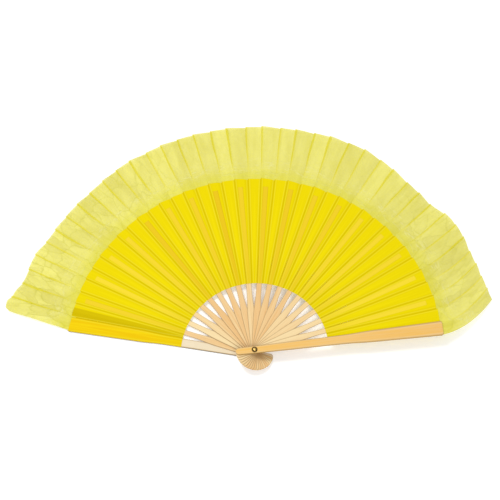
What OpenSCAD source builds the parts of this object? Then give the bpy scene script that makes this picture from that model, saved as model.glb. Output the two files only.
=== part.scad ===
// Folding hand fan. Eighteen thin bamboo ribs and two guards turn on one rivet and carry a
// pleated cloth leaf with a strip of sheer silk veil along its outer edge.
// The fan lies open on its back guard. +Z is the rivet's axis, the leaf opens towards +Y, and
// the origin is where that axis meets the back guard's outer face.

/* [Spread] */
// Number of ribs between the two guards
ribs = 18; // [8:1:18]
// Direction of the back guard, degrees from +X
back_angle = 170; // [150:1:176]
// Direction of the front guard, degrees from +X
front_angle = 7; // [4:1:30]
// Most that the uneven opening moves a rib towards the back guard, degrees
uneven = 2.8; // [0:0.2:4]

/* [Guards] */
// Rivet axis to the guards' tips
guard_reach = 300; // [240:1:360]
// Rivet axis to the rounded tails of all the sticks
tail = 30; // [22:1:40]
// Thickness of a guard under the cloth
guard_t = 2.6; // [2:0.1:4]
// Width of a guard at its tail
guard_tail_w = 11.3; // [9:0.1:14]
// Width of a guard at its waist
guard_waist_w = 14.8; // [12:0.1:18]
// Width of a guard past the waist, where the cloth covers it
guard_hip_w = 19.4; // [16:0.1:23]
// Width of a guard at its tip
guard_tip_w = 24; // [20:0.1:29]
// Rivet axis to the waist
guard_waist_at = 140; // [117:1:168]
// Length of the flare from the waist to the hip
guard_flare = 52; // [40:1:62]
// Radius of the corners at a guard's tip
guard_corner = 3; // [1:0.1:4]

/* [Ribs] */
// How far the ribs end short of the seam between leaf and veil
rib_gap = 4; // [2:0.5:8]
// Width of a rib at its tail
rib_tail_w = 9.8; // [8:0.1:12]
// Width of a rib at the end of its head
rib_head_w = 12; // [10:0.1:14]
// Width of a rib's slat where the neck ends
rib_neck_w = 8.4; // [7:0.1:10]
// Width of a rib's slat at its end
rib_tip_w = 9; // [7:0.1:10.5]
// Rivet axis to the end of the head
rib_head_reach = 64; // [54:1:76]
// Length of the neck from the head to the slat
rib_neck = 36; // [30:1:43]
// Thickness of a rib's slat under the cloth
slat_t = 0.6; // [0.5:0.05:0.9]
// Radius of the corners at a rib's end
rib_corner = 0.8; // [0.4:0.1:1.5]

/* [Cloth] */
// Rivet axis to the leaf's inner edge
leaf_in = 117; // [98:1:140]
// How far the leaf's outer edge stays short of the guards' tips
leaf_short = 2; // [1:0.5:4]
// Thickness of the leaf
leaf_t = 0.15; // [0.1:0.01:0.2]
// How far a glued pleat's outer corners stay inside a guard's edges
pleat_inset = 0.8; // [0:0.1:2]
// Width of the veil beyond the leaf's outer edge
veil_w = 94; // [70:1:113]
// Thickness of the veil
veil_t = 0.05; // [0.04:0.01:0.06]
// Overlap of the veil on the leaf
lap = 10; // [8:0.5:12]
// Film between the veil and the leaf that it is glued to
film = 0.02; // [0.01:0.005:0.03]

/* [Fits] */
// Play between neighbouring layers of the closed fan
play = 0.05; // [0.03:0.01:0.1]
// Running clearance of the sticks around the rivet, on the radius
running = 0.05; // [0.03:0.01:0.1]
// Skived ramp from a stick's thick head to its thin slat
ramp = 16; // [10:1:20]
// How far the ramp ends short of the leaf
ramp_short = 4; // [2:0.5:6]

/* [Rivet] */
// Diameter of the rivet's shank
shank_d = 3; // [2.5:0.1:3.6]
// Diameter of the domed head
dome_d = 8; // [7:0.1:9]
// Height of the domed head
dome_h = 2; // [1.5:0.1:3]
// Diameter of the washer under the domed head
washer_d = 9.4; // [9.2:0.1:11]
// Thickness of the washer
washer_t = 0.4; // [0.3:0.05:0.6]
// Diameter of the flared tail
flare_d = 6; // [5:0.1:7]
// Height of the flared tail
flare_h = 1.2; // [0.8:0.1:1.5]
// How far the flared tail lies below the back guard's outer face
flare_sink = 0.2; // [0.1:0.05:0.3]

/* [Hidden] */
$fn = 96;
last = ribs + 1; // the front guard's place in the stack; the back guard's is 0

// Radial stations
leaf_out = guard_reach - leaf_short;
veil_in = leaf_out - lap;
rib_reach = veil_in - rib_gap;
veil_out = leaf_out + veil_w;
ramp_end = leaf_in - ramp_short;

// Angle across a pleat that is glued to a stick; the free pleats take the rest of each gap
glued_angle = 2 * asin((guard_tip_w / 2 - pleat_inset) / leaf_out);

// Layers: each stick carries its glued pleat on its face, and a free pleat lies above that.
// The veil is glued to the leaf's back, so it takes its room below each leaf
seam_t = film + veil_t;
air = seam_t + play;
slot = slat_t + 2 * (leaf_t + air);
head_t = slot - play;
first_rib_z = guard_t + seam_t + 2 * (leaf_t + air);
front_z = free_z(ribs) + leaf_t + air + leaf_t;
front_head_z = stick_z(ribs) + head_t + play;
stack_top = front_z + guard_t;
washer_z = stack_top + running;
dome_z = washer_z + washer_t + film;

bamboo = [0.90, 0.76, 0.52];
guard_bamboo = [0.92, 0.72, 0.40];
brass = [0.83, 0.66, 0.30];
leaf_yellow = [0.95, 0.87, 0.05];
veil_yellow = [0.93, 0.91, 0.52];

function two_digits(k) = k < 10 ? str("0", k) : str(k);
function rib_name(k) = str("rib_", two_digits(k));
function glued_name(k) = str("glued_pleat_", two_digits(k));
function free_name(k) = str("free_pleat_", two_digits(k));

// Direction of stick k, which lags towards the back guard most at about two thirds of the way
function direction(k) =
    let (share = k / last)
    back_angle - (back_angle - front_angle) * share + uneven * sin(180 * share * share);

// Underside of stick k, and of the leaf's pleats on it and above it. The front guard's pleat is
// glued to its underside, and the back guard is long enough to have the veil's seam under its own
function stick_z(k) = k == 0 ? 0 : first_rib_z + (k - 1) * slot;
function glued_z(k) =
    k == 0 ? guard_t + seam_t :
    k == last ? front_z - leaf_t :
    stick_z(k) + slat_t;
function free_z(k) = glued_z(k) + leaf_t + air;

function smooth(t) = t * t * (3 - 2 * t);
function arc(centre, radius, from, to, steps) = [
    for (i = [0:steps])
        let (a = from + (to - from) * i / steps)
        centre + radius * [cos(a), sin(a)]
];

// Distance along the stick and half width, from a station of one width to the next
function flank(from, to, w_from, w_to, steps) = [
    for (i = [0:steps])
        [from + (to - from) * i / steps, (w_from + (w_to - w_from) * smooth(i / steps)) / 2]
];

// A stick's outline along +X: straight and curved flanks, a round tail and a square tip
function stick_outline(sides, reach, tip_w, corner) =
    let (n = len(sides), inset = tip_w / 2 - corner)
    concat(
        [for (s = sides) [s.x, -s.y]],
        arc([reach - corner, -inset], corner, -90, 0, 4),
        arc([reach - corner, inset], corner, 0, 90, 4),
        [for (i = [n - 1:-1:0]) sides[i]],
        arc([sides[0].x, 0], sides[0].y, 105, 255, 10)
    );

module stick(outline, head, body) {
    profile = [
        [-tail, head[0]], [ramp_end - ramp, head[0]], [ramp_end, body[0]], [guard_reach, body[0]],
        [guard_reach, body[1]], [ramp_end, body[1]], [ramp_end - ramp, head[1]], [-tail, head[1]]
    ];
    difference() {
        intersection() {
            translate([0, 0, -1])
                linear_extrude(stack_top + 2)
                    polygon(outline);
            rotate([90, 0, 0])
                linear_extrude(guard_tip_w + 2, center = true)
                    polygon(profile);
        }
        translate([0, 0, -1])
            cylinder(h = stack_top + 2, d = shank_d + 2 * running);
    }
}

module guard(head, body) {
    sides = concat(
        [[guard_tail_w / 2 - tail, guard_tail_w / 2]],
        flank(guard_waist_at, guard_waist_at + guard_flare, guard_waist_w, guard_hip_w, 8)
    );
    color(guard_bamboo)
        stick(stick_outline(sides, guard_reach, guard_tip_w, guard_corner), head, body);
}

module back_guard() {
    rotate([0, 0, direction(0)])
        difference() {
            guard([0, first_rib_z - play], [0, guard_t]);
            rivet_flare();
        }
}

module front_guard() {
    rotate([0, 0, direction(last)])
        guard([front_head_z, stack_top], [front_z, stack_top]);
}

module rib(k) {
    sides = concat(
        [[rib_tail_w / 2 - tail, rib_tail_w / 2]],
        flank(rib_head_reach, rib_head_reach + rib_neck, rib_head_w, rib_neck_w, 8)
    );
    z = stick_z(k);
    color(bamboo)
        rotate([0, 0, direction(k)])
            stick(
                stick_outline(sides, rib_reach, rib_tip_w, rib_corner),
                [z, z + head_t], [z, z + slat_t]
            );
}

// A flat sector of cloth about +X, with straight ends
module sector(r_in, r_out, angle, z, thickness) {
    half = angle / 2;
    translate([0, 0, z])
        linear_extrude(thickness)
            polygon([
                r_in * [cos(half), -sin(half)], r_out * [cos(half), -sin(half)],
                r_out * [cos(half), sin(half)], r_in * [cos(half), sin(half)]
            ]);
}

// One pleat of the leaf, with its stretch of the veil
module pleat(towards, angle, z) {
    rotate([0, 0, towards]) {
        color(leaf_yellow)
            sector(leaf_in, leaf_out, angle, z, leaf_t);
        color(veil_yellow)
            sector(veil_in, veil_out, angle, z - seam_t, veil_t);
    }
}

// Pleat glued to stick k
module glued_pleat(k) {
    pleat(direction(k), glued_angle, glued_z(k));
}

// Pleat that spans the gap between stick k and the next one
module free_pleat(k) {
    gap = direction(k) - direction(k + 1);
    pleat((direction(k) + direction(k + 1)) / 2, gap - glued_angle, free_z(k));
}

module rivet_flare() {
    translate([0, 0, flare_sink])
        cylinder(h = flare_h, d1 = flare_d, d2 = shank_d);
    translate([0, 0, -1])
        cylinder(h = flare_sink + 1, d = flare_d);
}

module rivet() {
    ball_r = (dome_d * dome_d / 4 + dome_h * dome_h) / (2 * dome_h);
    color(brass) {
        translate([0, 0, flare_sink])
            cylinder(h = flare_h, d1 = flare_d, d2 = shank_d);
        translate([0, 0, flare_sink])
            cylinder(h = dome_z - flare_sink, d = shank_d);
        intersection() {
            translate([0, 0, dome_z + dome_h - ball_r])
                sphere(r = ball_r);
            translate([0, 0, dome_z])
                cylinder(h = dome_h, d = dome_d);
        }
        translate([0, 0, washer_z])
            difference() {
                cylinder(h = washer_t, d = washer_d);
                translate([0, 0, -1])
                    cylinder(h = washer_t + 2, d = shank_d + 2 * running);
            }
    }
}

back_guard();
front_guard();
rivet();
for (k = [1:ribs]) rib(k);
for (k = [0:last]) glued_pleat(k);
for (k = [0:ribs]) free_pleat(k);
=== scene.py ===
import math

import bmesh
import bpy
from mathutils import Matrix, Vector, noise


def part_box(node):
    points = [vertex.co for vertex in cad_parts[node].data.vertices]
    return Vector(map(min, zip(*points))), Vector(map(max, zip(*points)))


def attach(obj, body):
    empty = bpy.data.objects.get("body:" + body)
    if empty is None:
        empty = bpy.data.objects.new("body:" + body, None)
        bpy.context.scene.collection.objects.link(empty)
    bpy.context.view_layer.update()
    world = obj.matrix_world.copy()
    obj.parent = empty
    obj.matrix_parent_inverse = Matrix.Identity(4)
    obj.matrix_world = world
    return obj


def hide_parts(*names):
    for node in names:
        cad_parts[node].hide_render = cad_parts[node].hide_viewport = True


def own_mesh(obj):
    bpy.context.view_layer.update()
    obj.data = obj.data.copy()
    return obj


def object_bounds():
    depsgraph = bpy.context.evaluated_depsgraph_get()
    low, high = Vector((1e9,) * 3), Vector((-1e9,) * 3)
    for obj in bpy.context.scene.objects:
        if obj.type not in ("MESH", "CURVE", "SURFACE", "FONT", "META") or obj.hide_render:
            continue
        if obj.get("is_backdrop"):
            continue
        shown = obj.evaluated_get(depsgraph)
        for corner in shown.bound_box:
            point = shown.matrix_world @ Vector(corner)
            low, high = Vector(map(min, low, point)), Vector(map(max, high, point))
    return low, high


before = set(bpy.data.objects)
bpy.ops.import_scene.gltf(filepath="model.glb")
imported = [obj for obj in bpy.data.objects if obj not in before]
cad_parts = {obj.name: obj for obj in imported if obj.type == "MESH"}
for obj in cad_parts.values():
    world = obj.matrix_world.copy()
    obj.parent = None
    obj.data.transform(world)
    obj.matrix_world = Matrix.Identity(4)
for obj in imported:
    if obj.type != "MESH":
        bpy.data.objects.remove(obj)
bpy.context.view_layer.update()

# ---------------------------------------------------------------------------------------------
# The view: a long lens, high over the near edge of the table and square to the fan.
tilt = math.radians(21.7)
eye_distance = 6.0
picture_width = 0.797
look_at = Vector((-0.0072, 0.1680, 0.029))

lens = bpy.data.cameras.new("long_lens")
lens.sensor_width = 36
lens.lens = lens.sensor_width * eye_distance / picture_width
lens.clip_end = 50
eye = bpy.data.objects.new("eye", lens)
eye.location = look_at + eye_distance * Vector((0, -math.sin(tilt), math.cos(tilt)))
eye.rotation_euler = (tilt, 0, 0)
bpy.context.collection.objects.link(eye)
bpy.context.scene.camera = eye
bpy.context.scene.view_settings.view_transform = "Standard"


# ---------------------------------------------------------------------------------------------
# The table top: matt white board in a white studio, lit by a soft lamp up behind the fan on the
# left and a wider one in front of it.
class Wire:
    """A socket in a finish's node tree. Arithmetic on it adds the Math nodes."""

    def __init__(self, tree, socket=None):
        self.tree = tree
        self.socket = socket

    def node(self, kind, settings, sockets, out=0):
        made = self.tree.nodes.new(kind)
        for name, value in settings.items():
            setattr(made, name, value)
        for name, value in sockets.items():
            if isinstance(value, Wire):
                self.tree.links.new(value.socket, made.inputs[name])
            else:
                made.inputs[name].default_value = value
        return Wire(self.tree, made.outputs[out] if len(made.outputs) else None)

    def math(self, operation, *values):
        return self.node("ShaderNodeMath", {"operation": operation}, dict(enumerate(values)))

    def __add__(self, other):
        return self.math("ADD", self, other)

    def __radd__(self, other):
        return self.math("ADD", other, self)

    def __sub__(self, other):
        return self.math("SUBTRACT", self, other)

    def __rsub__(self, other):
        return self.math("SUBTRACT", other, self)

    def __mul__(self, other):
        return self.math("MULTIPLY", self, other)

    def __rmul__(self, other):
        return self.math("MULTIPLY", other, self)

    def __abs__(self):
        return self.math("ABSOLUTE", self)

    def fade(self, start, end):
        """0 where this value is at start, 1 where it is at end, smooth between."""
        sockets = {"Value": self, "From Min": start, "From Max": end}
        return self.node("ShaderNodeMapRange", {"interpolation_type": "SMOOTHSTEP"}, sockets)

    def blend(self, first, second):
        """The first colour where this mask is 0, the second where it is 1."""
        colours = [c if isinstance(c, Wire) else (*c, 1) for c in (first, second)]
        settings = {"data_type": "RGBA", "clamp_factor": True}
        return self.node("ShaderNodeMix", settings, {0: self, 6: colours[0], 7: colours[1]}, 2)

    def stretched(self, *scale):
        return self.node("ShaderNodeMapping", {}, {"Vector": self, "Scale": scale})

    def cloud(self, scale, detail=3, roughness=0.55):
        """Noise over this vector, from about 0 to 1."""
        sockets = {"Vector": self, "Scale": scale, "Detail": detail, "Roughness": roughness}
        return self.node("ShaderNodeTexNoise", {}, sockets)

    def bent(self, scale, amount):
        """This vector, pushed about by noise."""
        push = self.node("ShaderNodeTexNoise", {}, {"Vector": self, "Scale": scale}, 1)
        settings = {"operation": "MULTIPLY_ADD"}
        return self.node("ShaderNodeVectorMath", settings, {0: push, 1: (amount,) * 3, 2: self})

    def facets(self):
        """Crumples, one to a unit: the shade of each facet, and the distance from its edges."""
        sockets = {"Vector": self, "Scale": 1.0}
        shade = self.node("ShaderNodeTexVoronoi", {}, sockets, 1)
        edge = self.node("ShaderNodeTexVoronoi", {"feature": "DISTANCE_TO_EDGE"}, sockets)
        return shade.part(0), edge

    def part(self, index):
        return self.node("ShaderNodeSeparateXYZ", {}, {"Vector": self}, index)


def new_finish(name):
    finish = bpy.data.materials.new(name)
    finish.use_nodes = True
    tree = finish.node_tree
    tree.nodes.clear()
    return finish, Wire(tree)


def close_finish(wire, constants, linked, height=None, relief=0.0001):
    """Ends a finish in one shader: constants on its own sockets, linked values and a bump."""
    sockets = dict(constants)
    sockets.update(linked)
    if height is not None:
        bump = {"Height": height, "Distance": relief, "Strength": 1.0}
        sockets["Normal"] = wire.node("ShaderNodeBump", {}, bump)
    shader = wire.node("ShaderNodeBsdfPrincipled", {}, sockets)
    wire.node("ShaderNodeOutputMaterial", {}, {"Surface": shader})


def object_place(wire):
    return wire.node("ShaderNodeTexCoord", {}, {}, 3)


def lay_out(wire, name):
    return wire.node("ShaderNodeUVMap", {"uv_map": name}, {})


def scaled(colour, share):
    return tuple(c * share for c in colour)


def tint(red, green, blue, share=1.0):
    """A linear colour from one that is given as it shows on a screen, 0 to 255. The share makes
    it darker, by what the lamps add."""
    screen = [c / 255 for c in (red, green, blue)]
    linear = [s / 12.92 if s <= 0.04045 else ((s + 0.055) / 1.055) ** 2.4 for s in screen]
    return scaled(linear, share)


def bright_lamp(name, energy, size, place, aim):
    lamp = bpy.data.lights.new(name, "AREA")
    lamp.energy = energy
    lamp.size = size
    holder = bpy.data.objects.new(name, lamp)
    holder.location = place
    holder.rotation_euler = (Vector(aim) - Vector(place)).to_track_quat("-Z", "Y").to_euler()
    bpy.context.collection.objects.link(holder)


table_size = 12.0
table_glow = 0.24
studio_glow = 0.58
board = bmesh.new()
bmesh.ops.create_grid(board, x_segments=1, y_segments=1, size=table_size / 2)
board_mesh = bpy.data.meshes.new("table_top")
board.to_mesh(board_mesh)
board.free()
table_top = bpy.data.objects.new("table_top", board_mesh)
bpy.context.collection.objects.link(table_top)
table_top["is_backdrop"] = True

white_board, wire = new_finish("white_board")
speck = object_place(wire).cloud(3.0)
board_colour = speck.blend((0.86, 0.86, 0.86), (0.88, 0.88, 0.88))
matt = {"Roughness": 0.9, "Specular IOR Level": 0.1, "Emission Strength": table_glow}
close_finish(wire, matt, {"Base Color": board_colour, "Emission Color": board_colour})
board_mesh.materials.append(white_board)

studio = bpy.data.worlds.new("white_studio")
studio.use_nodes = True
sky = studio.node_tree.nodes["Background"].inputs
sky["Color"].default_value = (1, 1, 1, 1)
sky["Strength"].default_value = studio_glow
bpy.context.scene.world = studio
bright_lamp("soft_light", energy=37, size=0.8, place=(-0.9, 1.0, 2.7), aim=(0, 0.15, 0))
bright_lamp("front_fill", energy=29, size=1.2, place=(0.3, -1.5, 2.5), aim=(0, 0.1, 0))


# ---------------------------------------------------------------------------------------------
# The rivet: one turned brass pin. Its domed head sits on a thin washer over the front guard, and
# its tail is flared into a countersink in the back guard. It is bright on top, with painted shade
# round its rim.
MM = 0.001
dome_d = 8 * MM
dome_h = 2 * MM
washer_d = 9.4 * MM
washer_t = 0.4 * MM
shank_d = 3 * MM
flare_d = 6 * MM
flare_h = 1.2 * MM
film = 0.02 * MM
turns = 64


def piece(name, bm, body, finish, smooth=True):
    """Makes an object of a finished mesh, rides it on its body and gives it its finish."""
    mesh = bpy.data.meshes.new(name)
    bm.to_mesh(mesh)
    bm.free()
    mesh.materials.append(finish)
    mesh.polygons.foreach_set("use_smooth", [smooth] * len(mesh.polygons))
    made = bpy.data.objects.new(name, mesh)
    bpy.context.collection.objects.link(made)
    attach(made, body)
    return made


def turned(profile):
    """A solid of revolution about Z from a profile of (radius, height) pairs."""
    bm = bmesh.new()
    points = [bm.verts.new((radius, 0, height)) for radius, height in profile]
    edges = [bm.edges.new(pair) for pair in zip(points, points[1:])]
    bmesh.ops.spin(
        bm,
        geom=points + edges,
        cent=(0, 0, 0),
        axis=(0, 0, 1),
        angle=2 * math.pi,
        steps=turns,
        use_merge=True,
    )
    bmesh.ops.remove_doubles(bm, verts=bm.verts, dist=1e-6)
    bmesh.ops.recalc_face_normals(bm, faces=bm.faces)
    return bm


rivet_low, rivet_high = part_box("rivet")
dome_z = rivet_high.z - dome_h
ball_r = (dome_d * dome_d / 4 + dome_h * dome_h) / (2 * dome_h)
ball_z = rivet_high.z - ball_r
rim_angle = math.asin(dome_d / 2 / ball_r)
dome_steps = 9
dome_start = 0.97
rim_round = 0.25 * MM

brass, wire = new_finish("brass")
place = object_place(wire)
tarnish = place.cloud(900, 4)
brushed = place.stretched(1, 1, 9).cloud(2600, 2)
brass_colour = tarnish.fade(0.35, 0.75).blend(tint(226, 190, 112), tint(168, 124, 58))
across, up = place.part(0), place.part(1)
from_axis = across.math("SQRT", across * across + up * up)
# Painted shade: the brass darkens away from its axis, as a dark ring round the dome and over the
# washer.
painted_rim_shade = from_axis.fade(dome_d * 0.2, dome_d * 0.42)
brass_colour = (0.85 * painted_rim_shade).blend(brass_colour, tint(74, 58, 30))
close_finish(
    wire,
    {"Metallic": 1.0},
    {"Base Color": brass_colour, "Roughness": 0.2 + 0.22 * tarnish},
    brushed,
    0.02 * MM,
)

tail_dish = 0.25 * MM
pin_profile = [
    (0, rivet_low.z + tail_dish),
    (shank_d / 4, rivet_low.z + 0.6 * tail_dish),
    (flare_d / 2 - 0.3 * MM, rivet_low.z),
    (flare_d / 2, rivet_low.z + 0.1 * MM),
    (shank_d / 2, rivet_low.z + flare_h),
    (shank_d / 2, dome_z),
    (dome_d / 2 - rim_round, dome_z),
    (dome_d / 2, dome_z + rim_round / 2),
]
for i in range(1, dome_steps + 1):
    lean = rim_angle * (1 - i / dome_steps) * dome_start
    pin_profile.append((ball_r * math.sin(lean), ball_z + ball_r * math.cos(lean)))
rivet_pin = piece("rivet_pin", turned(pin_profile), "back_guard", brass)
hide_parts("rivet")

washer_z = dome_z - film - washer_t
washer_edge = 0.12 * MM
washer_hole = shank_d / 2 + 0.05 * MM
washer_profile = [
    (washer_hole, washer_z),
    (washer_d / 2 - washer_edge, washer_z),
    (washer_d / 2, washer_z + washer_edge),
    (washer_d / 2, washer_z + washer_t - washer_edge),
    (washer_d / 2 - washer_edge, washer_z + washer_t),
    (washer_hole, washer_z + washer_t),
    (washer_hole, washer_z),
]
rivet_washer = piece("rivet_washer", turned(washer_profile), "back_guard", brass)
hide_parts("rivet")

# ---------------------------------------------------------------------------------------------
# The ribs: eighteen slats split from bamboo and sanded smooth. The thick head is shaved down to
# a neck and a thin slat that is glued under the leaf. Each lies on its left-hand neighbour.
rib_count = 18
tail_reach = 30 * MM
rib_tail_w = 9.8 * MM
rib_head_w = 12 * MM
rib_neck_w = 8.4 * MM
rib_tip_w = 9 * MM
rib_head_reach = 64 * MM
rib_neck = 36 * MM
rib_reach = 284 * MM
head_t = 1.09 * MM
slat_t = 0.6 * MM
ramp_start = 97 * MM
ramp_end = 113 * MM
rib_corner = 0.8 * MM
rib_edge = 0.14 * MM
bore_d = shank_d + 0.1 * MM
taper_steps = 8
grain_step = 0.31


def heading(node):
    """The direction in which a CAD node points away from the rivet, in radians."""
    spots = {tuple(v.co.to_2d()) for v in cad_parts[node].data.vertices}
    reach = max(math.hypot(*s) for s in spots)
    far = [s for s in spots if math.hypot(*s) > reach - 0.02 * MM]
    return math.atan2(sum(s[1] for s in far), sum(s[0] for s in far))


def eased(share):
    return share * share * (3 - 2 * share)


def clamped(share):
    return min(max(share, 0.0), 1.0)


def tail_stations(width):
    """Stations round a stick's tail, as (distance along, width)."""
    centre = width / 2 - tail_reach
    leans = [math.radians(lean) for lean in (14, 28, 42, 56, 70)]
    rounds = [(centre - width / 2 * math.cos(a), width * math.sin(a)) for a in leans]
    return [*rounds, (centre, width)]


def tip_stations(reach, width, corner):
    leans = [math.radians(lean) for lean in (0, 30, 60, 84)]
    return [
        (reach - corner * (1 - math.sin(a)), width - 2 * corner * (1 - math.cos(a)))
        for a in leans
    ]


def taper_stations(start, length, first, last):
    """Stations along a smooth change of width."""
    shares = [i / taper_steps for i in range(taper_steps + 1)]
    return [(start + length * share, first + (last - first) * eased(share)) for share in shares]


def ramp_share(along):
    """How far a stick is shaved down from its thick head to its thin slat."""
    return clamped((along - ramp_start) / (ramp_end - ramp_start))


def width_at(stations, along):
    for (x0, w0), (x1, w1) in zip(stations, stations[1:]):
        if x0 <= along <= x1:
            return w0 + (w1 - w0) * (along - x0) / max(x1 - x0, 1e-9)
    return stations[-1][1]


def whittled(stations, low, high, sanded):
    """A stick along +X: a section is extruded from station to station, then its edges are sanded
    by that much. low and high give the heights of its faces at a distance along."""
    bm = bmesh.new()
    bmesh.ops.create_grid(bm, x_segments=1, y_segments=1, size=0.5)
    bmesh.ops.rotate(bm, verts=bm.verts, matrix=Matrix.Rotation(math.pi / 2, 3, "Y"))
    end = bm.faces[:][0]
    corners = {v: (math.copysign(1, v.co.y), v.co.z > 0) for v in end.verts}
    for i, (along, width) in enumerate(stations):
        if i:
            made = bmesh.ops.extrude_face_region(bm, geom=[end])["geom"]
            end = [g for g in made if isinstance(g, bmesh.types.BMFace)][0]
            centre = end.calc_center_median()
            corners = {
                v: (math.copysign(1, v.co.y - centre.y), v.co.z > centre.z) for v in end.verts
            }
        for v, (side, upper) in corners.items():
            v.co = (along, side * width / 2, high(along) if upper else low(along))
    bmesh.ops.recalc_face_normals(bm, faces=bm.faces)
    sharp = [e for e in bm.edges if e.calc_face_angle(0) > math.radians(40)]
    bmesh.ops.bevel(
        bm,
        geom=sharp,
        offset=sanded,
        segments=2,
        profile=0.5,
        affect="EDGES",
        material=-1,
    )
    return bm


def drilled(made, diameter, low, high, sink=None):
    """Cuts the rivet's bore through a stick, and a countersink of the given profile."""
    cutter = bmesh.new()
    depth = high - low
    seat = Matrix.Translation((0, 0, (low + high) / 2))
    bmesh.ops.create_cone(
        cutter,
        cap_ends=True,
        segments=48,
        radius1=diameter / 2,
        radius2=diameter / 2,
        depth=depth,
        matrix=seat,
    )
    tools = [cutter]
    if sink:
        tools.append(turned(sink))
    for tool in tools:
        mesh = bpy.data.meshes.new("bore")
        tool.to_mesh(mesh)
        tool.free()
        drill = bpy.data.objects.new("bore", mesh)
        bpy.context.collection.objects.link(drill)
        cut = made.modifiers.new("bore", "BOOLEAN")
        cut.operation = "DIFFERENCE"
        cut.solver = "EXACT"
        cut.object = drill
        bpy.context.view_layer.update()
        view = bpy.context.evaluated_depsgraph_get()
        whole = bpy.data.meshes.new_from_object(made.evaluated_get(view))
        made.modifiers.clear()
        made.data = whole
        bpy.data.objects.remove(drill)


def grained(made, stations, offset, tone):
    """Lays the grain along a stick that still lies on +X: a map in metres along and across, the
    share of its half width, and its own shade of bamboo."""
    mesh = made.data
    grain = mesh.uv_layers.new(name="grain")
    side = mesh.attributes.new("side", "FLOAT", "POINT")
    shade = mesh.attributes.new("shade", "FLOAT", "POINT")
    for v in mesh.vertices:
        half = max(width_at(stations, v.co.x) / 2, 1 * MM)
        side.data[v.index].value = max(-1.0, min(1.0, v.co.y / half))
        shade.data[v.index].value = tone
    for loop in mesh.loops:
        co = mesh.vertices[loop.vertex_index].co
        grain.data[loop.index].uv = (co.x + offset, co.y + co.z + offset)


def mark_on(wire, name):
    """The value that a piece's mesh carries under a name."""
    settings = {"attribute_type": "GEOMETRY", "attribute_name": name}
    return wire.node("ShaderNodeAttribute", settings, {}, 2)


def bamboo(name, pale, deep, streaks):
    """Split bamboo: straight fibres with darker pores, one shade to a stick, paler towards the
    long edges, with painted shade on the edges themselves and on the side faces."""
    finish, wire = new_finish(name)
    grain = lay_out(wire, "grain")
    side, shade = mark_on(wire, "side"), mark_on(wire, "shade")
    broad = grain.stretched(9, 420, 1).cloud(1.0, 3, 0.5)
    fibres = grain.stretched(30, 2600, 1).cloud(1.0, 4, 0.65)
    pores = grain.stretched(70, 3800, 1).cloud(1.0, 2, 0.5).fade(0.60, 0.72)
    depth = shade + streaks * (broad - 0.5) + 0.35 * (fibres - 0.5)
    wood = depth.fade(0.0, 1.0).blend(pale, deep)
    wood = (0.30 * pores).blend(wood, scaled(deep, 0.62))
    worn = abs(side).fade(0.55, 0.75)
    wood = (0.25 * worn).blend(wood, pale)
    # Painted shade: the sticks darken along their edges, where each one overlaps its neighbour.
    edge = abs(side).fade(0.72, 0.97)
    wood = (0.68 * edge).blend(wood, scaled(deep, 0.5))
    # Painted shade on the side faces: dark grey on the palest sticks such as the back guard, dark
    # brown on the others.
    cut_face = abs(side).fade(0.984, 0.996)
    side_painted_shade = shade.fade(0.05, 0.2).blend(tint(66, 60, 50), scaled(deep, 0.5))
    wood = (0.8 * cut_face).blend(wood, side_painted_shade)
    roughness = 0.42 + 0.18 * fibres + 0.1 * worn
    close_finish(
        wire,
        {"Specular IOR Level": 0.35, "Coat Roughness": 0.35},
        {"Base Color": wood, "Roughness": roughness, "Coat Weight": 0.12 * (1 - pores)},
        fibres - 0.5 * pores,
        0.05 * MM,
    )
    return finish


rib_pale = tint(243, 218, 164, 0.88)
rib_deep = tint(231, 182, 114, 0.88)
rib_bamboo = bamboo("rib_bamboo", rib_pale, rib_deep, streaks=0.9)

# The shade of each rib's bamboo, from the left: 0 is pale and 1 deep
rib_tones = [
    0.60, 0.10, 0.35, 0.60, 0.75, 0.55, 0.70, 0.65, 0.45,
    0.80, 0.75, 0.60, 0.70, 0.40, 0.40, 0.40, 0.20, 0.30,
]

headings = {0: heading("back_guard"), rib_count + 1: heading("front_guard")}
slat = [(rib_head_reach + rib_neck, rib_neck_w), (rib_reach, rib_tip_w)]
rib_stations = tail_stations(rib_tail_w)
rib_stations += taper_stations(rib_head_reach, rib_neck, rib_head_w, rib_neck_w)
rib_stations += [(ramp_end, width_at(slat, ramp_end))]
rib_stations += tip_stations(rib_reach, rib_tip_w, rib_corner)
for k in range(1, rib_count + 1):
    label = f"rib_{k:02d}"
    headings[k] = heading(label)
    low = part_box(label)[0].z

    def rib_top(along):
        return low + head_t + (slat_t - head_t) * ramp_share(along)

    bm = whittled(rib_stations, lambda along: low, rib_top, rib_edge)
    made = piece(f"bamboo_{label}", bm, label, rib_bamboo, smooth=False)
    drilled(made, bore_d, low - 1 * MM, low + 3 * MM)
    grained(made, rib_stations, grain_step * k, rib_tones[k - 1])
    made.data.transform(Matrix.Rotation(headings[k], 4, "Z"))
    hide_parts(label)

# ---------------------------------------------------------------------------------------------
# The guards: two stout slats from the outer, harder bamboo, rubbed with oil. The back guard lies
# on the table with the cloth glued over it, and the front guard has the cloth under it.
guard_reach = 300 * MM
guard_t = 2.6 * MM
guard_tail_w = 11.3 * MM
guard_waist_w = 14.8 * MM
guard_hip_w = 19.4 * MM
guard_tip_w = 24 * MM
guard_waist_at = 140 * MM
guard_flare = 52 * MM
guard_corner = 3 * MM
guard_edge = 0.35 * MM
guard_grain = 7.7

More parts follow.
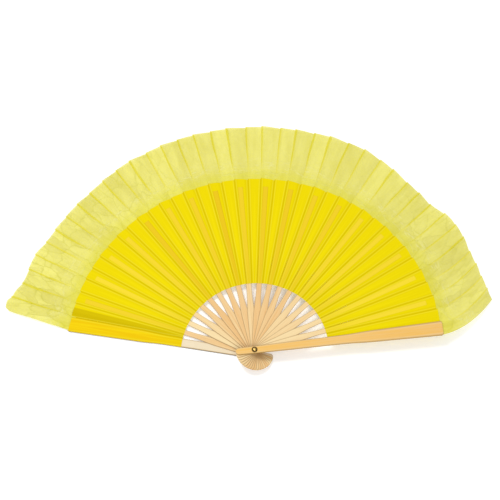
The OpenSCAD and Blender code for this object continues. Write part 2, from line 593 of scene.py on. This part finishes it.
guard_pale = tint(232, 215, 182, 0.9)
guard_deep = tint(236, 182, 78, 0.9)
guard_bamboo = bamboo("guard_bamboo", guard_pale, guard_deep, streaks=0.7)
guard_stations = tail_stations(guard_tail_w)
guard_stations += taper_stations(guard_waist_at, guard_flare, guard_waist_w, guard_hip_w)
guard_stations += tip_stations(guard_reach, guard_tip_w, guard_corner)
ramp_stations = [(x, width_at(guard_stations, x)) for x in (ramp_start, ramp_end)]
guard_stations = sorted(guard_stations + ramp_stations)
back_low, back_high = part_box("back_guard")
front_low, front_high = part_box("front_guard")


def back_top(along):
    return back_high.z + (back_low.z + guard_t - back_high.z) * ramp_share(along)


def front_under(along):
    return front_low.z + (front_high.z - guard_t - front_low.z) * ramp_share(along)


guards = {
    "back_guard": (0, lambda along: back_low.z, back_top, 0.05),
    "front_guard": (rib_count + 1, front_under, lambda along: front_high.z, 0.78),
}
flare_seat = [
    (0, -1 * MM),
    (flare_d / 2, -1 * MM),
    (flare_d / 2, rivet_low.z),
    (shank_d / 2, rivet_low.z + flare_h),
    (0, rivet_low.z + flare_h),
]
for label, (k, low_at, high_at, tone) in guards.items():
    bm = whittled(guard_stations, low_at, high_at, guard_edge)
    made = piece(f"bamboo_{label}", bm, label, guard_bamboo, smooth=False)
    sink = flare_seat if label == "back_guard" else None
    drilled(made, bore_d, low_at(0) - 1 * MM, high_at(0) + 1 * MM, sink)
    grained(made, guard_stations, guard_grain + grain_step * k, tone)
    made.data.transform(Matrix.Rotation(headings[k], 4, "Z"))
    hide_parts(label)

# ---------------------------------------------------------------------------------------------
# The leaf: closely woven yellow cloth, pleated and glued over the back guard and the ribs, and
# under the front guard. A pleat is glued to each stick and a free pleat rises to the next one.
leaf_in = 117 * MM
leaf_out = 298 * MM
left_share = math.radians(1.65)
right_share = math.radians(2.65)
rib_half = 4.7 * MM
strip_half = 3.8 * MM
glue = 0.04 * MM
guard_clear = 0.4 * MM
beside_guard = math.radians(3)
leaf_columns = 16
leaf_rows = 40
edge_step = 0.9 * MM
zigzag_width = 0.12
zigzag_area = 0.05
slack_most = 0.4 * MM
slack_wave = 30 * MM
front = rib_count + 1

levels = {k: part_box(f"glued_pleat_{k:02d}")[1].z for k in range(front + 1)}
left_folds = {k: headings[k] + left_share for k in range(1, front + 1)}
right_folds = {k: headings[k] - right_share for k in range(front)}
left_folds[0] = headings[0] + math.radians(2.35)
right_folds[0] = headings[0] - math.radians(2.4)
right_folds[front] = headings[front] - math.radians(2.2)


def fold_at(angle, reach):
    """Where a fold at an angle runs at a reach: straight from the rivet, but clear of the edges
    of the back guard, which takes up a wider angle close to the rivet than at its tip."""
    clear = (width_at(guard_stations, reach) / 2 + guard_clear) / reach
    if angle >= headings[0]:
        return headings[0] + max(angle - headings[0], clear)
    if angle > headings[0] - beside_guard:
        return headings[0] - max(headings[0] - angle, clear)
    return angle


def outward(reach):
    return (reach - leaf_in) / (leaf_out - leaf_in)


def ridge(k, reach):
    """Height of the leaf at the fold on the left of stick k."""
    if k == 0:
        return levels[0] + 0.05 * MM
    if k == front:
        return levels[front] - 0.05 * MM
    return levels[k] + (0.25 + 0.75 * outward(reach)) * MM


def valley(k, reach):
    """Height of the leaf at the fold on the right of stick k."""
    if k in (0, front):
        return ridge(k, reach)
    drop = (0.2 + (1.8 + 0.03 * k) * outward(reach)) * MM
    return max(levels[k] - drop, 0.5 * MM)


def glued_height(k, angle, reach):
    """Height of the pleat on stick k: flat where it is glued, up to the fold on its left and
    down to the one on its right."""
    if k in (0, front):
        return ridge(k, reach)
    offset = (headings[k] - angle) * reach
    flat = levels[k] + glue
    fold = left_folds[k] if offset < 0 else right_folds[k]
    fold_height = ridge(k, reach) if offset < 0 else valley(k, reach)
    span = abs(fold - headings[k]) * reach - rib_half
    share = clamped((abs(offset) - rib_half) / max(span, 0.1 * MM))
    return flat + (fold_height - flat) * share


def free_height(k, angle, reach):
    """Height of the free pleat between sticks k and k + 1: low at its left, high at its right.
    The first one dips from the stout back guard's edge to the table before it rises."""
    start = fold_at(right_folds[k], reach)
    share = clamped((start - angle) / (start - left_folds[k + 1]))
    low, high = valley(k, reach), ridge(k + 1, reach)
    if k == 0:
        foot = low - 2.2 * MM * (0.25 + 0.75 * outward(reach))
        if share < 0.06:
            return low + (foot - low) * share / 0.06
        rise = eased(min((share - 0.06) / 0.42, 1))
        return foot + (high - foot) * (0.85 * rise + 0.15 * share)
    return low + (high - low) * (0.8 * share + 0.2 * share**4)


def leaf_finish():
    """Yellow cloth: a plain weave, faint streaks along the folds, painted shade along a crease and
    a painted glint at each fold, painted shade over the first free pleat, and the sticks showing
    through with a darker line at each edge."""
    finish, wire = new_finish("leaf_cloth")
    cut = lay_out(wire, "cut")
    along, across = cut.part(0), cut.part(1)
    shade, pressed = mark_on(wire, "shade"), mark_on(wire, "fold")
    half, reach = mark_on(wire, "stick_half"), mark_on(wire, "stick_reach")
    dye = 0.86

    # The bare cloth
    streaks = cut.stretched(7, 260, 1).cloud(1.0, 3, 0.5)
    patches = cut.cloud(14, 3)
    yellow = streaks.fade(0.3, 0.7).blend(tint(235, 213, 0, dye), tint(243, 222, 4, dye))
    yellow = (0.5 * patches).blend(yellow, tint(238, 218, 2, dye))

    # The sticks behind it: warm strips over the ribs, a golden one over a guard
    inside = (abs(across) - half).fade(0.4 * MM, -0.3 * MM)
    short = (along - reach).fade(0.5 * MM, -0.5 * MM)
    stick = inside * short
    warm = shade.blend(tint(247, 220, 55, dye), tint(234, 196, 30, dye))
    golden = streaks.fade(0.35, 0.65).blend(tint(246, 214, 14, dye), tint(240, 197, 8, dye))
    warm = half.fade(20 * MM, 30 * MM).blend(warm, golden)
    yellow = (0.95 * stick).blend(yellow, warm)
    rim = abs(abs(across) - half).fade(0.9 * MM, 0.2 * MM) * (along - reach).fade(1 * MM, 0.0)
    yellow = (0.35 * rim * shade).blend(yellow, tint(214, 166, 20, 0.92))

    # Painted shade over most of the first free pleat, which is folded under beside the back guard
    free = half.fade(0.0, -1 * MM)
    painted_hollow_shade = 0.7 * shade * free * across.fade(5.5 * MM, 3 * MM)
    yellow = painted_hollow_shade.blend(yellow, tint(202, 176, 0, dye))

    # Painted shade along the pressed folds with a painted glint beside each, and the deeper colour
    # towards the rivet
    yellow = (0.3 * pressed.fade(7 * MM, 0.0)).blend(yellow, tint(214, 190, 0, dye))
    yellow = (0.3 * along.fade(170 * MM, leaf_in)).blend(yellow, tint(222, 197, 2, dye))
    glint = pressed.fade(3.4 * MM, 2.4 * MM) * pressed.fade(1.4 * MM, 2.2 * MM)
    yellow = (0.35 * glint).blend(yellow, tint(250, 236, 70, 0.88))
    yellow = (0.5 * pressed.fade(1.6 * MM, 0.0)).blend(yellow, tint(204, 176, 0, dye))
    warp = cut.stretched(60, 2400, 1).cloud(1.0, 2, 0.5)
    weft = cut.stretched(2400, 60, 1).cloud(1.0, 2, 0.5)
    close_finish(
        wire,
        {"Specular IOR Level": 0.05},
        {"Base Color": yellow, "Roughness": 0.75 + 0.1 * patches},
        warp + weft + 0.8 * streaks + 5.0 * stick,
        0.05 * MM,
    )
    return finish


def cloth(columns, rows, spread):
    """A grid of cloth. From a corner's two shares, spread gives its place, its (along, across)
    on the flat cloth, and its distance from the nearest pressed fold."""
    bm = bmesh.new()
    bmesh.ops.create_grid(bm, x_segments=columns, y_segments=rows, size=0.5)
    layout = bm.loops.layers.uv.new("cut")
    fold = bm.verts.layers.float.new("fold")
    spots = {}
    for v in bm.verts:
        place, spots[v], v[fold] = spread(v.co.x + 0.5, v.co.y + 0.5)
        v.co = place
    for face in bm.faces:
        for loop in face.loops:
            loop[layout].uv = spots[loop.vert]
    bmesh.ops.recalc_face_normals(bm, faces=bm.faces)
    if sum(f.normal.z for f in bm.faces) < 0:
        bmesh.ops.reverse_faces(bm, faces=bm.faces)
    return bm


def marked(made, **values):
    """Writes named attributes, each with one value for the whole piece."""
    for name, value in values.items():
        mark = made.data.attributes.new(name, "FLOAT", "POINT")
        mark.data.foreach_set("value", [value] * len(made.data.vertices))


leaf_cloth = leaf_finish()


def leaf_pleat(label, left, right, centre, height, body, half, tone):
    """One pleat of the leaf between two folds, cut from the whole cloth."""

    def spread(u, v):
        edge = leaf_out + edge_step * (1 - 2 * u)
        reach = leaf_in + (edge - leaf_in) * v
        first, last = fold_at(left, reach), fold_at(right, reach)
        angle = first + (last - first) * u
        x, y = reach * math.cos(angle), reach * math.sin(angle)
        wave = noise.noise(Vector((x / slack_wave, y / slack_wave, 1.3)))
        slack = math.sin(math.pi * u) * abs(slack_most * wave)
        place = (x, y, height(angle, reach) + slack)
        return place, (reach, (centre - angle) * reach), min(u, 1 - u) * (first - last) * reach

    bm = cloth(leaf_columns, leaf_rows, spread)
    made = piece(f"leaf_{label}", bm, body, leaf_cloth)
    shows_to = rib_reach if half < 10 * MM else guard_reach + 5 * MM
    marked(made, shade=tone, stick_half=half, stick_reach=shows_to)
    long = leaf_out - leaf_in
    inner, outer = ((fold_at(left, r) - fold_at(right, r)) * r for r in (leaf_in, leaf_out))
    wide = outer * (1 + zigzag_width)
    area = (inner + outer) / 2 * long * (1 + zigzag_area)
    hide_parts(label)
    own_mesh(made)
    return made


# How darkly each rib shows through the leaf, from the left: 0 is faint and 1 dark
rib_shows = [
    0.45, 0.0, 0.1, 0.25, 0.85, 0.40, 0.55, 0.95, 0.55,
    0.75, 0.8, 0.6, 0.6, 0.25, 0.2, 0.25, 0.0, 0.05,
]
guard_half = 40 * MM
guard_shows = 0.1
no_stick = -1.0


def stick_name(k):
    return "back_guard" if k == 0 else "front_guard" if k == front else f"rib_{k:02d}"


for k in range(front + 1):
    label = f"glued_pleat_{k:02d}"
    body = stick_name(k)
    half = guard_half if k in (0, front) else strip_half
    tone = guard_shows if k in (0, front) else rib_shows[k - 1]
    leaf_pleat(
        label, left_folds[k], right_folds[k], headings[k],
        lambda angle, reach: glued_height(k, angle, reach),
        body, half, tone,
    )
# Only the first free pleat is given a shade of 1.0, which turns on its painted hollow shade.
for k in range(front):
    label = f"free_pleat_{k:02d}"
    leaf_pleat(
        label, right_folds[k], left_folds[k + 1], (right_folds[k] + left_folds[k + 1]) / 2,
        lambda angle, reach: free_height(k, angle, reach),
        label, no_stick, 1.0 if k == 0 else 0.0,
    )

# ---------------------------------------------------------------------------------------------
# The flounce: a strip of sheer silk, glued under the leaf's outer edge, pressed into the same
# folds and left loose beyond it. It sinks to the table, and each stretch laps over the next one.
veil_in = 290 * MM
veil_spread = 95 * MM
veil_outer = 392 * MM
veil_cut = 108 * MM
veil_rows = 48
seam_sink = 0.22 * MM
table_gap = 0.5 * MM
lowest = 0.25 * MM
crumple_long = 30 * MM
crumple_wide = 17 * MM

# How far the loose edge reaches from the rivet: direction in degrees, reach in millimetres
edge_reach = [
    (0, 332), (7, 348), (10, 376), (13, 392), (16, 387), (24, 386), (35, 392), (43, 382), (66, 396),
    (84, 394), (104, 392), (121, 389), (135, 384), (148, 384), (155, 390), (161, 388), (165, 397),
    (167, 405), (168.4, 404), (169.6, 395), (171, 370), (180, 320),
]


def reach_at(angle):
    degrees = math.degrees(angle)
    for (a0, r0), (a1, r1) in zip(edge_reach, edge_reach[1:]):
        if a0 <= degrees <= a1:
            return (r0 + (r1 - r0) * eased((degrees - a0) / (a1 - a0))) * MM
    return edge_reach[-1][1] * MM


def lean_at(angle):
    """How far the flounce's edge swings round from its seam, towards the middle of the fan. It
    grows over the last 48 degrees at the right end and the last 32 at the left."""
    degrees = math.degrees(angle)
    if degrees < 52:
        return math.radians(9.4 * ((52 - degrees) / 48) ** 1.7)
    if degrees > 140:
        return -math.radians(2.9 * ((degrees - 140) / 32) ** 2)
    return 0.0


def pleat_at(angle):
    """The number of the stick or gap at an angle, and whether its pleat is glued."""
    for k in range(front + 1):
        if right_folds[k] <= angle <= left_folds[k]:
            return k, True
        if k < front and left_folds[k + 1] <= angle <= right_folds[k]:
            return k, False
    return None, False


def leaf_edge_height(angle):
    """Height of the leaf's outer edge at an angle."""
    k, glued = pleat_at(angle)
    if k is None:
        return levels[0] if angle > left_folds[0] else levels[front]
    return glued_height(k, angle, leaf_out) if glued else free_height(k, angle, leaf_out)


def uneven(k):
    return 0.75 + 0.25 * math.sin(2.1 * k + 0.6)


def fold_lift(angle):
    """Relief of the flounce where it lies loose: high along the left folds, low along the right
    ones, and not the same in any two folds."""
    k, glued = pleat_at(angle)
    if k is None:
        return 0.5
    if glued:
        return uneven(k) * (1 - (left_folds[k] - angle) / (left_folds[k] - right_folds[k]))
    return uneven(k + 1) * (right_folds[k] - angle) / (right_folds[k] - left_folds[k + 1])


def veil_place(angle, share, lift=0.0, longer=0.0):
    """Where the silk lies: angle is its place along the seam, and share runs outwards. It falls
    from the leaf to the table, in folds and with crumples that are strongest at its two ends."""
    degrees = math.degrees(angle)
    edge = reach_at(angle + lean_at(angle)) + longer
    reach = veil_in + (edge - veil_in) * share
    swing = angle + lean_at(angle) * share ** (0.8 if degrees > 90 else 1.5)
    x, y = reach * math.cos(swing), reach * math.sin(swing)
    start = leaf_edge_height(angle) - seam_sink
    lap_share = (leaf_out - veil_in) / (edge - veil_in)
    fall = clamped((share - lap_share) / (1 - lap_share))
    sink = (1 - fall) ** 1.25
    loose = math.sin(math.pi * fall * 0.5)
    deep = 3.4 + 2.2 * clamped((75 - degrees) / 40)
    billow = 0.5 + noise.noise(Vector((degrees / 9, 3.3, 0)))
    wave = 2.2 * clamped((62 - degrees) / 20) * billow
    rest = table_gap + (0.5 + deep * fold_lift(angle) + wave) * MM * loose
    left_side = eased(clamped((degrees - 95) / 50))
    right_side = eased(clamped((60 - degrees) / 30))
    run, round_by = reach / crumple_long, angle * veil_in / crumple_wide
    twist = noise.noise(Vector((run * 0.6, round_by * 0.6, 7.7)))
    broad = noise.voronoi(Vector((run + twist, round_by + 1.2 * twist, 5.1)))[0][0]
    small = noise.voronoi(Vector((run * 2.1 - twist, round_by * 1.9, 2.7)))[0][0]
    crease = (3.0 * (0.8 - broad) + 1.2 * (0.7 - small)) * MM
    crease *= 0.12 + 0.88 * left_side + 0.6 * right_side
    crease *= eased(clamped(fall * 4)) * (1 - 0.4 * fall)
    z = rest + (start - rest) * sink + crease + lift
    return (x, y, max(z, lowest))


def veil_finish():
    """Sheer silk: a fine open weave that lets the table show through, with soft crinkles whose
    facets and creases carry painted shade, and a closer, crumpled band where it is glued along the
    leaf."""
    finish, wire = new_finish("veil_silk")
    cut = lay_out(wire, "cut")
    along, across = cut.part(0), cut.part(1)
    shade, pressed = mark_on(wire, "shade"), mark_on(wire, "fold")
    dye = 0.9

    # The loose silk: streaks along the folds, and crumples that are strongest at the two ends
    crumpled = 0.22 + 0.78 * across.fade(0.58, 0.80) + 0.55 * across.fade(0.36, 0.2)
    mist = cut.stretched(30, 70, 1).cloud(1.0, 4, 0.6)
    rays = cut.stretched(7, 110, 1).cloud(1.0, 3, 0.5)
    wide_shade, wide_edge = cut.stretched(26, 46, 1).bent(1.1, 0.8).facets()
    fine_shade, fine_edge = cut.stretched(48, 88, 1).bent(1.1, 0.8).facets()
    # The crease lines between crumples: deeper where the silk doubles, and painted shade as well.
    thin = crumpled * (0.9 * wide_edge.fade(0.05, 0.0) + 0.35 * fine_edge.fade(0.07, 0.0))
    # Painted shade: each crumple's facet is painted lighter or darker, for facets that face the
    # light and away from it.
    facet = crumpled * (0.42 * (wide_shade - 0.5) + 0.3 * (fine_shade - 0.5))
    # The stretch's own shade is painted shade too: stretches lighter and darker in turn.
    deep = shade + 0.8 * (mist - 0.5) + 0.8 * (rays - 0.5) + facet
    silk = deep.fade(-0.1, 1.1).blend(tint(242, 235, 94, dye), tint(219, 210, 56, dye))
    silk = (0.6 * thin).blend(silk, tint(206, 200, 46, 0.88))

    # The band along the leaf, crumpled by the glue
    crumple = cut.stretched(190, 62, 1).cloud(1.0, 3, 0.6)
    ruffled = crumple.fade(0.5, 0.68) * along.fade(55 * MM, 30 * MM) * along.fade(8 * MM, 14 * MM)
    silk = (0.4 * ruffled).blend(silk, tint(244, 240, 150, dye))
    band = along.fade(26 * MM, 19 * MM) * along.fade(6 * MM, 9 * MM)
    silk = (band * (0.1 + 0.5 * crumple)).blend(silk, tint(218, 212, 78, dye))

    # Two layers show as a deeper line where one stretch laps over the next
    line = pressed.fade(4.5 * MM, 0.8 * MM) * along.fade(12 * MM, 50 * MM)
    silk = (0.75 * line).blend(silk, tint(229, 216, 26, dye))
    warp = cut.stretched(80, 2600, 1).cloud(1.0, 2, 0.5)
    weft = cut.stretched(2600, 80, 1).cloud(1.0, 2, 0.5)
    glued = along.fade(34 * MM, 12 * MM)
    alpha = 0.75 + 0.1 * (mist - 0.5) + 0.17 * glued + 0.1 * line + 0.06 * thin
    close_finish(
        wire,
        {"Specular IOR Level": 0.2},
        {"Base Color": silk, "Roughness": 0.55 + 0.15 * mist, "Alpha": alpha},
        0.15 * (warp + weft) + 1.2 * facet + 1.2 * ruffled,
        0.3 * MM,
    )
    return finish


veil_silk = veil_finish()


def veil_strip(label, left, right, lap, shade, body):
    """One stretch of the flounce. Beyond the leaf its left-hand side is folded over its
    neighbour by lap, which opens towards the loose edge."""
    overlap = 0.4 * MM
    shoulder = 6 * MM

    def spread(u, v):
        opening = eased(clamped((v - 0.08) / 0.8)) * (0.85 + 0.15 * math.sin(9 * v + 40 * left))
        radius = veil_in + veil_spread * v
        start = left + lap * opening / radius
        angle = start + (right - start) * u
        inside = (start - angle) * radius
        raised = overlap * opening * eased(clamped(1 - inside / shoulder)) if lap else 0
        longer = edge_step * (1 - 2 * u)
        place = veil_place(angle, v, raised, longer)
        spot = ((reach_at(angle) - veil_in) * v, angle * (veil_in + 50 * MM))
        return place, spot, inside if lap else 1.0

    bm = cloth(leaf_columns, veil_rows, spread)
    made = piece(f"veil_{label}", bm, body, veil_silk)
    marked(made, shade=shade)
    turn = abs(left - right)
    wide, long = turn * veil_outer + lap, veil_cut
    area = min(wide * long, (turn * (veil_outer + veil_in) / 2 + lap / 2) * long)
    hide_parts(label)
    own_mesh(made)
    return made


for k in range(front + 1):
    label = f"glued_pleat_{k:02d}"
    body = stick_name(k)
    lap = 0 if k == 0 else (3.6 + 1.4 * math.sin(2.3 * k)) * MM
    # Painted shade: the stretches are painted lighter and darker in turn, for folds that face the
    # light and folds that face away.
    shade = 0.5 + 0.16 * math.sin(3.1 * k)
    veil_strip(label, left_folds[k], right_folds[k], lap, shade, body)
for k in range(front):
    label = f"free_pleat_{k:02d}"
    lap = (2.4 + 1.2 * math.sin(1.7 * k + 1)) * MM
    # Painted shade for the free stretches, a little darker on the whole.
    shade = 0.45 + 0.16 * math.sin(2.7 * k + 1)
    veil_strip(label, right_folds[k], left_folds[k + 1], lap, shade, label)

# ---------------------------------------------------------------------------------------------
# The whole fan: its box, in metres.
low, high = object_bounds()
